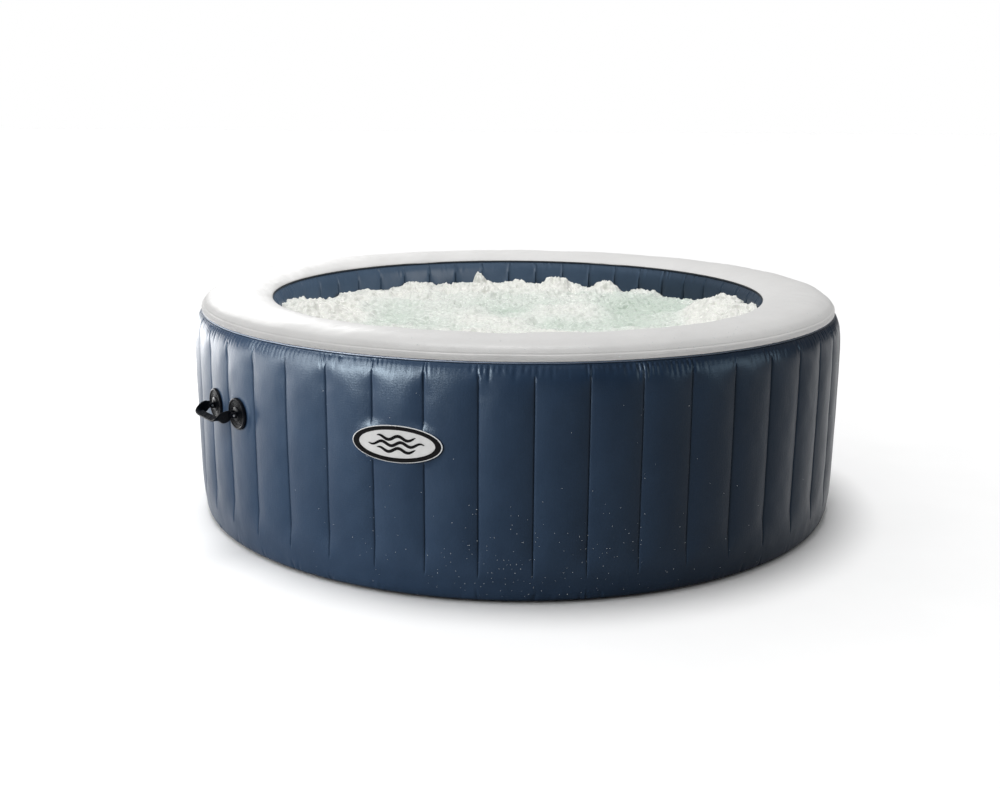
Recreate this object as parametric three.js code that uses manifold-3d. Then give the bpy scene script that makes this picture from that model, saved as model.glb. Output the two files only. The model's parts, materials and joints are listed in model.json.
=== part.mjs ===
// Inflatable round hot tub. Millimetres, +Z up, origin at the middle of the ground face.
// Angles are measured from -Y towards +X, so a point is (r sin a, -r cos a, z).
import * as THREE from 'three';
import { mergeVertices } from 'three/addons/utils/BufferGeometryUtils.js';
import Module from 'manifold-3d';

const wasm = await Module();
wasm.setup();

// ---------------------------------------------------------------- driving dimensions
const CHAMBERS = 46; // upright air chambers round the wall
const PITCH = 360 / CHAMBERS;
const SEAM_PHASE = 2.6; // angle of one wall seam
const WALL_COLUMNS = CHAMBERS * 3;
const RING_COLUMNS = WALL_COLUMNS / 2;

const BASE_R = 942;
const SKIN = 3;
// Wall sections: [radius at a seam, height, radius at the middle of a chamber]
const OUTER_FRONT = [[940, 3.3, 940], [956, 20, 958], [963.5, 65, 973], [964, 330, 982],
  [966.5, 550, 977], [965, 578, 968], [956, 597.6, 956]];
const OUTER_BACK = [[952.5, 597.6, 952.5], [961, 545, 971], [960, 70, 968], [936.5, 3.3, 936.5]];
const INNER_FRONT = [[748, 3.3, 748], [743, 60, 733], [743, 500, 727], [742.5, 565, 733],
  [750.5, 620.5, 750.5]];
const INNER_BACK = [[754, 620.5, 754], [746.5, 560, 737], [746.5, 64, 737], [751.5, 3.3, 751.5]];
const RING_FRONT = [[956, 604.4], [951, 622], [934, 638.5], [903, 648.5], [862, 650],
  [812, 645.5], [772, 636.5], [751, 627.5]];
const RING_BACK = [[754.5, 627.5], [800, 638], [865, 646], [925, 634], [952.5, 604.4]];
const OUTER_PIPING = [[952.8, 597.9], [959.5, 599.2], [959.5, 602.8], [952.8, 604.1]];
const INNER_PIPING = [[754, 620.8], [748.2, 622.4], [748.2, 625.8], [754, 627.2]];
const FLOOR_R = 747.2;
const FLOOR_Z = [3.3, 6.3];
const BUBBLE_CHANNEL = [[670, 6.6], [720, 6.6], [715, 20], [695, 26], [675, 20]];

const WEB = { inner: 747.2, outer: 959.2, thick: 2, low: 75, high: 545, tape: 1.2 };

const HANDLE_ANGLE = SEAM_PHASE - 7 * PITCH; // on a seam, so each pad sits on a chamber
const HANDLE_Z = 393;
const PAD_SEGMENTS = 18;
const PAD = { r: 43, back: 982.4, rim: 986, face: 990, hub: 21 };
const PIVOT_R = 1002; // distance of the grip's pivot line from the tub's axis
const PIN_R = 3;
const PIN_PLAY = 0.35;
const EAR = { gap: 18, thick: 5, half: 8 };
const GRIP_THICK = 6;

const BADGE = { angle: SEAM_PHASE - 2.5 * PITCH, z: 396, half: [116, 54], rim: 9, r: 982.9 };

const FITTING_SEGMENTS = 16;
const chamber = (k) => SEAM_PHASE + PITCH * (k + 0.5);
const OUTLET = { angle: chamber(21), z: 300 };
const INLET = { angle: chamber(25), z: 300 };
const AIR = { angle: chamber(23), z: 470 };
const VALVE = { angle: chamber(19), z: 430 };
const DRAIN = { angle: chamber(27), z: 95 };

// Fitting sections, [radius, distance from the tub's axis]
const COUPLING = [[19, 704], [24, 704], [24, 984.8], [44, 984.8], [44, 990.8], [29, 990.8],
  [29, 1030], [19, 1030]];
const GASKET = [[24.4, 982.4], [41, 982.4], [41, 984.5], [24.4, 984.5]];
const BLANK_CAP = [[0, 1033], [29.4, 1033], [29.4, 997], [34, 997], [34, 1038], [31, 1041],
  [0, 1041]];
const SCREEN = [[0, 702], [24.5, 702], [24.5, 726.4], [31, 726.4], [31, 699], [28, 696], [0, 696]];
const AIR_PORT = [[13, 925], [17, 925], [17, 982.4], [30, 982.4], [30, 986.4], [20, 986.4],
  [20, 1012], [13, 1012]];
const AIR_CAP = [[0, 1015], [20.4, 1015], [20.4, 992], [24, 992], [24, 1020], [0, 1020]];
const VALVE_BODY = [[9, 955], [13, 955], [13, 982.4], [25, 982.4], [25, 985.4], [15, 985.4],
  [15, 996], [9, 996]];
const VALVE_FLAP = [[0, 951], [12, 951], [12, 954.5], [0, 954.5]];
const VALVE_CAP = [[0, 997], [15.4, 997], [15.4, 988], [18.5, 988], [18.5, 1001], [0, 1001]];
const DRAIN_BODY = [[10, 722], [14, 722], [14, 978], [24, 978], [24, 981.5], [15, 981.5],
  [15, 998], [10, 998]];
const DRAIN_CAP = [[0, 999], [15.4, 999], [15.4, 985], [19, 985], [19, 1003], [0, 1003]];
const DRAIN_PLUG = [[0, 716], [17, 716], [17, 721.5], [9.6, 721.5], [9.2, 740], [0, 740]];
const AIR_DUCT = { r: 10, wall: 2, top: AIR.z - 24, low: 34, out: 900, end: 720.6 };

// ---------------------------------------------------------------- materials
function material(colour, roughness, metalness = 0) {
  return new THREE.MeshStandardMaterial({ color: colour, roughness, metalness, flatShading: true });
}
const NAVY = material(0x2a3557, 0.42);
const LINER = material(0x1d2740, 0.4);
const WHITE = material(0xe4e2dc, 0.45);
const PIPING = material(0x23262e, 0.5);
const SHEET = material(0x3a4258, 0.6);
const FIBRE = material(0xb9bcc2, 0.8);
const CHANNEL = material(0xc7ccd2, 0.45);
const BLACK = material(0x101113, 0.32);
const STEEL = material(0xa9adb2, 0.35, 0.9);
const SILVER = material(0xd9dce0, 0.3, 0.2);
const PORT = material(0x3d4148, 0.45);
const CAP = material(0x2b2e34, 0.4);
const RUBBER = material(0x1a1b1d, 0.8);
const PALE = material(0xd3d6d8, 0.4);

// ---------------------------------------------------------------- solids from point lists
const rad = THREE.MathUtils.degToRad;

function geometry(points, triangles) {
  const g = new THREE.BufferGeometry();
  g.setAttribute('position', new THREE.Float32BufferAttribute(points, 3));
  g.setIndex(volume(points, triangles) < 0 ? flipped(triangles) : triangles);
  return g;
}

function volume(p, t) {
  let sum = 0;
  for (let i = 0; i < t.length; i += 3) {
    const [a, b, c] = [t[i] * 3, t[i + 1] * 3, t[i + 2] * 3];
    sum += p[a] * (p[b + 1] * p[c + 2] - p[b + 2] * p[c + 1])
      - p[a + 1] * (p[b] * p[c + 2] - p[b + 2] * p[c])
      + p[a + 2] * (p[b] * p[c + 1] - p[b + 1] * p[c]);
  }
  return sum;
}

function flipped(t) {
  const out = [];
  for (let i = 0; i < t.length; i += 3) out.push(t[i], t[i + 2], t[i + 1]);
  return out;
}

// Closed section carried once round the tub's axis.
function band(section, columns) {
  const points = [];
  for (let j = 0; j < columns; j += 1) {
    const a = rad(SEAM_PHASE + (360 * j) / columns);
    const onSeam = columns === WALL_COLUMNS && j % 3 === 0;
    for (const [rSeam, z, rMiddle] of section) {
      const r = onSeam || rMiddle === undefined ? rSeam : rMiddle;
      points.push(r * Math.sin(a), -r * Math.cos(a), z);
    }
  }
  return geometry(points, torusTriangles(columns, section.length));
}

function torusTriangles(columns, n) {
  const out = [];
  for (let j = 0; j < columns; j += 1) {
    const k = (j + 1) % columns;
    for (let i = 0; i < n; i += 1) {
      const m = (i + 1) % n;
      out.push(j * n + i, k * n + i, k * n + m, j * n + i, k * n + m, j * n + m);
    }
  }
  return out;
}

// Open-ended run of n sections of m points, closed by a fan at each end.
function prismTriangles(n, m) {
  const out = [];
  for (let i = 0; i + 1 < n; i += 1) {
    for (let c = 0; c < m; c += 1) {
      const [p, q] = [i * m + c, i * m + ((c + 1) % m)];
      out.push(p, q, q + m, p, q + m, p + m);
    }
  }
  const e = (n - 1) * m;
  for (let c = 1; c + 1 < m; c += 1) out.push(0, c + 1, c, e, e + c, e + c + 1);
  return out;
}

function disc(r, low, high, columns) {
  const points = [0, 0, low, 0, 0, high];
  const out = [];
  for (let j = 0; j < columns; j += 1) {
    const a = rad(SEAM_PHASE + (360 * j) / columns);
    points.push(r * Math.sin(a), -r * Math.cos(a), low, r * Math.sin(a), -r * Math.cos(a), high);
    const [p, q] = [2 + j * 2, 2 + ((j + 1) % columns) * 2];
    out.push(0, q, p, 1, p + 1, q + 1, p, q, q + 1, p, q + 1, p + 1);
  }
  return geometry(points, out);
}

// Round body: closed section, or a section from axis to axis, turned about local Z.
function turned(section, segments = FITTING_SEGMENTS) {
  const points = [];
  const ids = section.map(([r, w]) => {
    const first = points.length / 3;
    const count = r === 0 ? 1 : segments;
    for (let j = 0; j < count; j += 1) {
      const a = (2 * Math.PI * j) / segments;
      points.push(r * Math.cos(a), r * Math.sin(a), w);
    }
    return (j) => first + (count === 1 ? 0 : j % segments);
  });
  const out = [];
  const last = section[0][0] === 0 ? section.length - 1 : section.length;
  for (let i = 0; i < last; i += 1) {
    const m = (i + 1) % section.length;
    for (let j = 0; j < segments; j += 1) {
      if (section[i][0] !== 0) out.push(ids[i](j), ids[i](j + 1), ids[m](j));
      if (section[m][0] !== 0) out.push(ids[i](j + 1), ids[m](j + 1), ids[m](j));
    }
  }
  return geometry(points, out);
}

// Local X along the wall, Y up, Z outwards from the tub's axis at height z.
function placed(g, angle, z) {
  const a = rad(angle);
  const m = new THREE.Matrix4().set(
    Math.cos(a), 0, Math.sin(a), 0,
    Math.sin(a), 0, -Math.cos(a), 0,
    0, 1, 0, z,
    0, 0, 0, 1,
  );
  return g.clone().applyMatrix4(m);
}

function block(x, y, z, cx, cy, cz) {
  return new THREE.BoxGeometry(x, y, z).translate(cx, cy, cz);
}

// Round bar or hole along local X.
function barX(r, length, cx, cy, cz, segments = 12) {
  const g = new THREE.CylinderGeometry(r, r, length, segments);
  return g.rotateZ(Math.PI / 2).translate(cx, cy, cz);
}

// ---------------------------------------------------------------- booleans
function bare(g) {
  g.deleteAttribute('normal');
  g.deleteAttribute('uv');
  return g;
}

function toManifold(g) {
  const merged = mergeVertices(bare(g), 1e-3);
  return new wasm.Manifold(new wasm.Mesh({
    numProp: 3,
    vertProperties: new Float32Array(merged.getAttribute('position').array),
    triVerts: new Uint32Array(merged.getIndex().array),
  }));
}

function fromManifold(m) {
  const mesh = m.getMesh();
  return geometry(Array.from(mesh.vertProperties), Array.from(mesh.triVerts));
}

const union = (list) => fromManifold(list.map(toManifold).reduce((a, b) => a.add(b)));
const cut = (g, list) => fromManifold(list.map(toManifold)
  .reduce((a, b) => a.subtract(b), toManifold(g)));

const tub = new THREE.Group();
tub.name = 'inflatable_hot_tub';
function add(name, g, mat) {
  const mesh = new THREE.Mesh(g, mat);
  mesh.name = name;
  tub.add(mesh);
}

// ---------------------------------------------------------------- soft body
function hole(r, from, to, { angle, z }) {
  return placed(turned([[0, from], [r, from], [r, to], [0, to]]), angle, z);
}

function softBody() {
  add('base_sheet', disc(BASE_R, 0, SKIN, RING_COLUMNS), SHEET);
  const outerHoles = [hole(24.4, 930, 1000, OUTLET), hole(24.4, 930, 1000, INLET),
    hole(17.4, 930, 1000, AIR), hole(13.4, 930, 1000, VALVE), hole(14.4, 930, 1000, DRAIN)];
  add('outer_wall', cut(band([...OUTER_FRONT, ...OUTER_BACK], WALL_COLUMNS), outerHoles), NAVY);
  const innerHoles = [hole(24.4, 700, 770, OUTLET), hole(24.4, 700, 770, INLET),
    hole(AIR_DUCT.r + 0.4, 700, 770, { angle: AIR.angle, z: AIR_DUCT.low }),
    hole(14.4, 700, 770, DRAIN)];
  add('inner_wall', cut(band([...INNER_FRONT, ...INNER_BACK], WALL_COLUMNS), innerHoles), LINER);
  add('top_ring', band([...RING_FRONT, ...RING_BACK], RING_COLUMNS), WHITE);
  add('outer_piping', band(OUTER_PIPING, RING_COLUMNS), PIPING);
  add('inner_piping', band(INNER_PIPING, RING_COLUMNS), PIPING);
  add('tub_floor', disc(FLOOR_R, FLOOR_Z[0], FLOOR_Z[1], RING_COLUMNS), LINER);
  add('bubble_channel', band(BUBBLE_CHANNEL, RING_COLUMNS), CHANNEL);
}

// One web is a strip folded into a U: two tension webs and the weld tape that joins them.
function webPlan() {
  const half = rad(PITCH / 2);
  const at = (r, side, offset) => new THREE.Vector2(
    side * (r * Math.sin(half) - offset * Math.cos(half)),
    r * Math.cos(half) + offset * Math.sin(half),
  );
  const t = WEB.thick / 2;
  const tapeY = at(WEB.outer, 1, t).y - WEB.tape;
  const slope = Math.tan(half);
  const onInnerFace = (side) => {
    const p = at(WEB.outer, side, t);
    return new THREE.Vector2(p.x - side * slope * WEB.tape, tapeY);
  };
  return [at(WEB.outer, 1, -t), at(WEB.inner, 1, -t), at(WEB.inner, 1, t), onInnerFace(1),
    onInnerFace(-1), at(WEB.inner, -1, t), at(WEB.inner, -1, -t), at(WEB.outer, -1, -t)];
}

function webs() {
  const plan = webPlan();
  const depth = WEB.high - WEB.low;
  for (let j = 0; j < CHAMBERS / 2; j += 1) {
    const g = mergeVertices(bare(new THREE.ExtrudeGeometry(new THREE.Shape(plan),
      { depth, bevelEnabled: false })));
    const turn = new THREE.Matrix4().makeRotationZ(rad(SEAM_PHASE + PITCH * (2 * j + 0.5) + 180));
    g.translate(0, 0, WEB.low).applyMatrix4(turn);
    add(`wall_web_${String(j + 1).padStart(2, '0')}`, g, FIBRE);
  }
}

// ---------------------------------------------------------------- badge
function ovalPoint(share, t, depth) {
  const [hx, hz] = [BADGE.half[0] - share, BADGE.half[1] - share];
  const a = rad(BADGE.angle) + (hx * Math.cos(t)) / BADGE.r;
  const r = BADGE.r + depth;
  return [r * Math.sin(a), -r * Math.cos(a), BADGE.z + hz * Math.sin(t)];
}

function badge() {
  const n = 32;
  const ring = [];
  for (let j = 0; j < n; j += 1) {
    const t = (2 * Math.PI * j) / n;
    ring.push(...ovalPoint(0, t, 0), ...ovalPoint(0, t, 3.5), ...ovalPoint(BADGE.rim, t, 3.5),
      ...ovalPoint(BADGE.rim, t, 0));
  }
  add('badge_rim', geometry(ring, torusTriangles(n, 4)), BLACK);
  const slices = 16;
  const points = [];
  for (let i = 0; i <= slices; i += 1) {
    const t = Math.PI * (0.06 + (0.88 * i) / slices);
    for (const [s, d] of [[1, 0], [-1, 0], [-1, 2], [1, 2]]) {
      points.push(...ovalPoint(BADGE.rim + 0.5, s * t, d));
    }
  }
  add('badge_face', geometry(points, prismTriangles(slices + 1, 4)), SILVER);
}

// ---------------------------------------------------------------- handles
// Handle frame: X along the wall at the handle's middle, Y up, Z outwards. Both pins share the
// line y = 0, z = pivot.z, so the grip turns on them as one hinge.
const PAD_TURN = PITCH / 2;
const pivot = { x: PIVOT_R * Math.sin(rad(PAD_TURN)), z: PIVOT_R * Math.cos(rad(PAD_TURN)) };

function padSolid(angle, side) {
  const plate = turned([[0, PAD.back], [PAD.r, PAD.back], [PAD.r, PAD.rim], [PAD.r - 6, PAD.face],
    [PAD.r - 11, PAD.face], [PAD.r - 13, PAD.rim + 1], [PAD.hub + 4, PAD.rim + 1],
    [PAD.hub, PAD.face + 1], [0, PAD.face + 1]], PAD_SEGMENTS);
  const foot = PAD.rim - 2;
  const depth = pivot.z + EAR.half - foot;
  const x = EAR.gap / 2 + EAR.thick / 2;
  const ear = (s) => placed(block(EAR.thick, EAR.half * 2, depth, side * pivot.x + s * x, 0,
    foot + depth / 2), angle, HANDLE_Z);
  const bore = placed(barX(PIN_R + PIN_PLAY, 60, side * pivot.x, 0, pivot.z), angle, HANDLE_Z);
  const body = union([placed(plate, angle + side * PAD_TURN, HANDLE_Z), ear(1), ear(-1)]);
  return cut(body, [bore]);
}

function pinSolid(angle, side) {
  const length = EAR.gap + 2 * EAR.thick + 1.5;
  return placed(barX(PIN_R, length, side * pivot.x, 0, pivot.z), angle, HANDLE_Z);
}

// The strap stands upright at the pins and leans over to a near-level shelf in the middle.
// Stations of the right arm: [along the wall, up, out from the pivot, lean in degrees, half width]
const GRIP_ARM = [[0, 0, 0, 0, EAR.half], [1, -1, 11, 0, 14], [-1, -6, 23, 20, 15],
  [-8, -11, 33, 60, 13], [-20, -11, 38, 105, 11], [-40, -11, 40.5, 114, 10]];

function gripStations() {
  const right = GRIP_ARM.map(([x, y, d, lean, half]) => ({
    at: new THREE.Vector3(pivot.x + x, y, pivot.z + d),
    wide: new THREE.Vector3(0, Math.cos(rad(lean)), Math.sin(rad(lean))),
    half,
  }));
  const left = right.map((s) => ({ ...s, at: s.at.clone().multiply(new THREE.Vector3(-1, 1, 1)) }));
  return [...right, ...left.reverse()];
}

// Flat strap swept through the stations.
function strapAlong(stations, thick) {
  const n = stations.length;
  const points = [];
  stations.forEach(({ at, wide, half }, i) => {
    const run = stations[Math.min(i + 1, n - 1)].at.clone()
      .sub(stations[Math.max(i - 1, 0)].at).normalize();
    const across = run.clone().cross(wide).normalize();
    const level = across.clone().cross(run).normalize();
    for (const [s, u] of [[1, 1], [-1, 1], [-1, -1], [1, -1]]) {
      const q = at.clone().addScaledVector(level, s * half)
        .addScaledVector(across, (u * thick) / 2);
      points.push(q.x, q.y, q.z);
    }
  });
  return geometry(points, prismTriangles(n, 4));
}

function gripSolid(angle) {
  const strap = strapAlong(gripStations(), GRIP_THICK);
  const eye = (s) => barX(EAR.half, EAR.gap - 1, s * pivot.x, 0, pivot.z, 16);
  const bore = (s) => barX(PIN_R + PIN_PLAY, 60, s * pivot.x, 0, pivot.z);
  return placed(cut(union([strap, eye(1), eye(-1)]), [bore(1), bore(-1)]), angle, HANDLE_Z);
}

function handle(end, angle) {
  for (const [spot, side] of [['left', -1], ['right', 1]]) {
    add(`handle_${end}_pad_${spot}`, padSolid(angle, side), BLACK);
    add(`handle_${end}_pin_${spot}`, pinSolid(angle, side), STEEL);
  }
  add(`handle_${end}_grip`, gripSolid(angle), BLACK);
}

// ---------------------------------------------------------------- fittings through the wall
function fitting(name, section, { angle, z }, mat, segments = FITTING_SEGMENTS) {
  add(name, placed(turned(section, segments), angle, z), mat);
}

function screenSolid() {
  const slots = [-16, -8, 0, 8, 16].map((x) => {
    const length = 2 * Math.sqrt(21 * 21 - x * x);
    return block(4, length, 12, x, 0, 698);
  });
  return cut(turned(SCREEN), slots);
}

function waterPort(name, spot) {
  fitting(`${name}_coupling`, COUPLING, spot, PORT);
  fitting(`${name}_gasket`, GASKET, spot, RUBBER);
  fitting(`${name}_cap`, BLANK_CAP, spot, CAP);
  add(`${name}_screen`, placed(screenSolid(), spot.angle, spot.z), PALE);
}

// Hollow duct: down inside its chamber from the air port, then in to the bubble channel.
function airDuctPath() {
  const d = AIR_DUCT;
  const a = rad(AIR.angle);
  const at = (w, z) => new THREE.Vector3(w * Math.sin(a), -w * Math.cos(a), z);
  const bend = new THREE.QuadraticBezierCurve3(at(d.out, d.low + 40), at(d.out, d.low),
    at(d.out - 40, d.low));
  return [at(d.out, d.top), ...bend.getPoints(4), at(d.end, d.low)];
}

function airDuctSolid() {
  const d = AIR_DUCT;
  const a = rad(AIR.angle);
  const across = new THREE.Vector3(Math.cos(a), Math.sin(a), 0);
  const path = airDuctPath();
  const sides = 10;
  const points = [];
  path.forEach((p, i) => {
    const before = path[Math.max(i - 1, 0)];
    const after = path[Math.min(i + 1, path.length - 1)];
    const up = after.clone().sub(before).normalize().cross(across);
    for (const r of [d.r, d.r - d.wall]) {
      for (let j = 0; j < sides; j += 1) {
        const t = (2 * Math.PI * j) / sides;
        const q = p.clone().addScaledVector(across, r * Math.cos(t))
          .addScaledVector(up, r * Math.sin(t));
        points.push(q.x, q.y, q.z);
      }
    }
  });
  return geometry(points, tubeTriangles(path.length, sides));
}

// Rows of an outer and an inner ring of points, joined along the tube and across its ends.
function tubeTriangles(rows, sides) {
  const out = [];
  const quad = (p, q, s, t) => out.push(p, q, s, p, s, t);
  const last = (rows - 1) * 2 * sides;
  for (let j = 0; j < sides; j += 1) {
    const k = (j + 1) % sides;
    for (let b = 0; b < last; b += 2 * sides) {
      const c = b + 2 * sides;
      quad(b + j, b + k, c + k, c + j);
      quad(b + sides + k, b + sides + j, c + sides + j, c + sides + k);
    }
    quad(sides + j, sides + k, k, j);
    quad(last + j, last + k, last + sides + k, last + sides + j);
  }
  return out;
}

function fittings() {
  waterPort('outlet', OUTLET);
  waterPort('inlet', INLET);
  fitting('air_port', AIR_PORT, AIR, PORT);
  fitting('air_cap', AIR_CAP, AIR, CAP);
  add('air_duct', airDuctSolid(), PALE);
  fitting('valve_body', VALVE_BODY, VALVE, PALE);
  fitting('valve_flap', VALVE_FLAP, VALVE, RUBBER, 12);
  fitting('valve_cap', VALVE_CAP, VALVE, PALE);
  fitting('drain_body', DRAIN_BODY, DRAIN, PORT);
  fitting('drain_cap', DRAIN_CAP, DRAIN, CAP);
  fitting('drain_plug', DRAIN_PLUG, DRAIN, RUBBER);
}

softBody();
webs();
badge();
handle('front', HANDLE_ANGLE);
handle('back', HANDLE_ANGLE + 180);
fittings();

export default tub;
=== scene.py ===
"""Looks of the inflatable hot tub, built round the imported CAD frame. Metres, +Z up.

Angles are measured from -Y towards +X, so a point is (r sin a, -r cos a, z).
"""
import json
import math

import bmesh
import bpy
import numpy as np
from mathutils import Matrix, Vector

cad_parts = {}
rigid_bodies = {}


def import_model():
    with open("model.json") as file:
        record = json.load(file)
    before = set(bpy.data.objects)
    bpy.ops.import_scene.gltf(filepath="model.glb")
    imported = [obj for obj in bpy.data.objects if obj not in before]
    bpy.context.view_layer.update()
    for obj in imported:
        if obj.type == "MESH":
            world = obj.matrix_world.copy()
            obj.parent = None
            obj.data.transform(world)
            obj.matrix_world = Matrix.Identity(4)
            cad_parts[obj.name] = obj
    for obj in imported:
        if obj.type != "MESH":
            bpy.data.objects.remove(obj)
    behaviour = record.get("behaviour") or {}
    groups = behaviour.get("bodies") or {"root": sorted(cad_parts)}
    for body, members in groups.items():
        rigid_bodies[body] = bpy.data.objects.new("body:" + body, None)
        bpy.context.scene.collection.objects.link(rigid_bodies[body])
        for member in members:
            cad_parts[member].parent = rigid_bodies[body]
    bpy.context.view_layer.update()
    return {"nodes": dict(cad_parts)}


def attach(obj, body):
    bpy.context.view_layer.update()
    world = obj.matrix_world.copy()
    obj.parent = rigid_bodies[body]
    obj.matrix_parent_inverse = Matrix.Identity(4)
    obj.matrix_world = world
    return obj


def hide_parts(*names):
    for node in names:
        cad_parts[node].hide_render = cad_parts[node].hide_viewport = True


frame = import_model()

# ------------------------------------------------------------------ driving sizes
TURN = 2 * math.pi
CHAMBERS = 46
PITCH = TURN / CHAMBERS
SEAM_PHASE = math.radians(2.6)
WALL_R = 0.982  # widest radius of the outer wall
SEAM_R = 0.7510  # radius of the inner seam
WEB_LOW, WEB_HIGH = 0.070, 0.576  # where the upright weld seams start and end
HANDLE_Z = 0.393
HANDLE_ANGLE = SEAM_PHASE - 7 * PITCH
BADGE_ANGLE = SEAM_PHASE - 2.5 * PITCH
BADGE_Z = 0.396
BADGE_HALF = (0.116, 0.0460)
RIM_ENDS = 1.55  # how much wider the rim is at the ends of the oval
WATER_Z = 0.530
WATER_R = 0.735
RING_COLUMNS = CHAMBERS * 22  # columns of the top ring's skin
BADGE_WALL_R = 0.9829  # radius of the badge's back
OUTER_STEPS = 54  # columns of the outer wall's skin in each chamber
OUTER_SKIN_GRID = (CHAMBERS * OUTER_STEPS, 116)  # columns and rows of its front sheet


def chamber(k):
    """Angle of the middle of a chamber."""
    return SEAM_PHASE + PITCH * (k + 0.5)


def dress(node, material):
    """Give a CAD node a new material."""
    slots = frame["nodes"][node].data.materials
    slots.clear()
    slots.append(material)


OUTLET, INLET, AIR, VALVE, DRAIN = (
    (chamber(21), 0.300),
    (chamber(25), 0.300),
    (chamber(23), 0.470),
    (chamber(19), 0.430),
    (chamber(27), 0.095),
)


# ------------------------------------------------------------------ curves and meshes
def smoothstep(low, high, x):
    """0 below low, 1 above high, smooth between."""
    t = np.clip((x - low) / (high - low), 0.0, 1.0)
    return t * t * (3 - 2 * t)


def spline(points, count):
    """Catmull-Rom curve through the points, sampled evenly along its length."""
    p = np.asarray(points, float)
    p = np.vstack([2 * p[0] - p[1], p, 2 * p[-1] - p[-2]])
    fine = []
    for i in range(1, len(p) - 2):
        t = np.linspace(0, 1, 24, endpoint=False)[:, None]
        a, b, c, d = p[i - 1], p[i], p[i + 1], p[i + 2]
        fine.append(0.5 * (2 * b + (c - a) * t + (2 * a - 5 * b + 4 * c - d) * t**2
                           + (3 * b - a - 3 * c + d) * t**3))
    fine = np.vstack(fine + [p[-2:-1]])
    step = distance_along(fine)
    at = np.linspace(0, step[-1], count) if np.isscalar(count) else count * step[-1]
    return np.stack([np.interp(at, step, fine[:, k]) for k in range(p.shape[1])], 1)


def distance_along(points):
    """Distance of each point from the first, measured along the curve."""
    return np.r_[0, np.cumsum(np.linalg.norm(np.diff(points, axis=0), axis=1))]


def placed(name, data):
    """New object in the scene."""
    obj = bpy.data.objects.new(name, data)
    bpy.context.scene.collection.objects.link(obj)
    return obj


def circle(count):
    """Angles spread evenly over one turn."""
    return np.linspace(0, TURN, count, endpoint=False)


def mesh_piece(name, points, faces, uv=None, smooth=True):
    """Object made from points and a list of face index arrays; uv is given per point."""
    mesh = bpy.data.meshes.new(name)
    points = np.asarray(points, np.float32)
    faces = [np.asarray(f, np.int32) for f in faces if len(f)]
    loops = np.concatenate([f.ravel() for f in faces])
    sizes = np.concatenate([np.full(len(f), f.shape[1]) for f in faces]).astype(np.int32)
    mesh.vertices.add(len(points))
    mesh.vertices.foreach_set("co", points.ravel())
    mesh.loops.add(len(loops))
    mesh.loops.foreach_set("vertex_index", loops)
    mesh.polygons.add(len(sizes))
    mesh.polygons.foreach_set("loop_start", np.r_[0, np.cumsum(sizes)[:-1]].astype(np.int32))
    mesh.polygons.foreach_set("loop_total", sizes)
    mesh.update(calc_edges=True)
    mesh.validate()
    if uv is not None:
        layer = mesh.uv_layers.new(name="UVMap")
        layer.data.foreach_set("uv", np.asarray(uv, np.float32)[loops].ravel())
    mesh.polygons.foreach_set("use_smooth", np.full(len(mesh.polygons), smooth))
    return placed(name, mesh)


def grid_faces(rows, columns, close_rows=False, close_columns=False):
    """Quads between the points of a grid, wrapping round where it is closed."""
    i = np.arange(rows if close_rows else rows - 1)
    j = np.arange(columns if close_columns else columns - 1)
    i, j = np.meshgrid(i, j, indexing="ij")
    k, m = (i + 1) % rows, (j + 1) % columns
    quad = np.stack([i * columns + j, i * columns + m, k * columns + m, k * columns + j], -1)
    return quad.reshape(-1, 4)


def vertex_values(obj, key):
    """Places ("co") or normals ("normal") of an object's vertices, one row each."""
    values = np.empty(len(obj.data.vertices) * 3, np.float32)
    obj.data.vertices.foreach_get(key, values)
    return values.reshape(-1, 3).astype(float)


def outward(obj):
    """Turn the faces so that the closed piece's normals point out of it."""
    me = obj.data
    me.calc_loop_triangles()
    co = vertex_values(obj, "co")
    tri = np.empty(len(me.loop_triangles) * 3, np.int32)
    me.loop_triangles.foreach_get("vertices", tri)
    a, b, c = (co[tri.reshape(-1, 3)[:, k]] for k in range(3))
    if np.einsum("ij,ij->i", a, np.cross(b, c)).sum() < 0:
        me.flip_normals()
    return obj


def turn_from(angle, at):
    """Signed angle from one direction to another, from -pi to pi."""
    return (angle - at + math.pi) % TURN - math.pi


def polar(r, angle, z):
    """Points at radius r, angle and height z."""
    return np.stack(np.broadcast_arrays(r * np.sin(angle), -r * np.cos(angle), z), -1)


def wall_frame(angle, z):
    """Local X along the wall, Y up, Z outwards from the tub's axis at height z."""
    s, c = math.sin(angle), math.cos(angle)
    return Matrix(((c, 0, s, 0), (s, 0, -c, 0), (0, 1, 0, z), (0, 0, 0, 1)))


def soften(points, radius, closed=True):
    """Round the corners of a section with short arcs."""
    p = [np.array(q, float) for q in points]
    out = []
    n = len(p)
    for i, q in enumerate(p):
        if not closed and i in (0, n - 1):
            out.append(q)
            continue
        a, b = p[i - 1] - q, p[(i + 1) % n] - q
        la, lb = np.linalg.norm(a), np.linalg.norm(b)
        r = min(radius, 0.45 * la, 0.45 * lb)
        for t in np.linspace(0, 1, 4):
            out.append((1 - t) ** 2 * (q + a / la * r) + 2 * t * (1 - t) * q
                       + t**2 * (q + b / lb * r))
    return out


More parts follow.
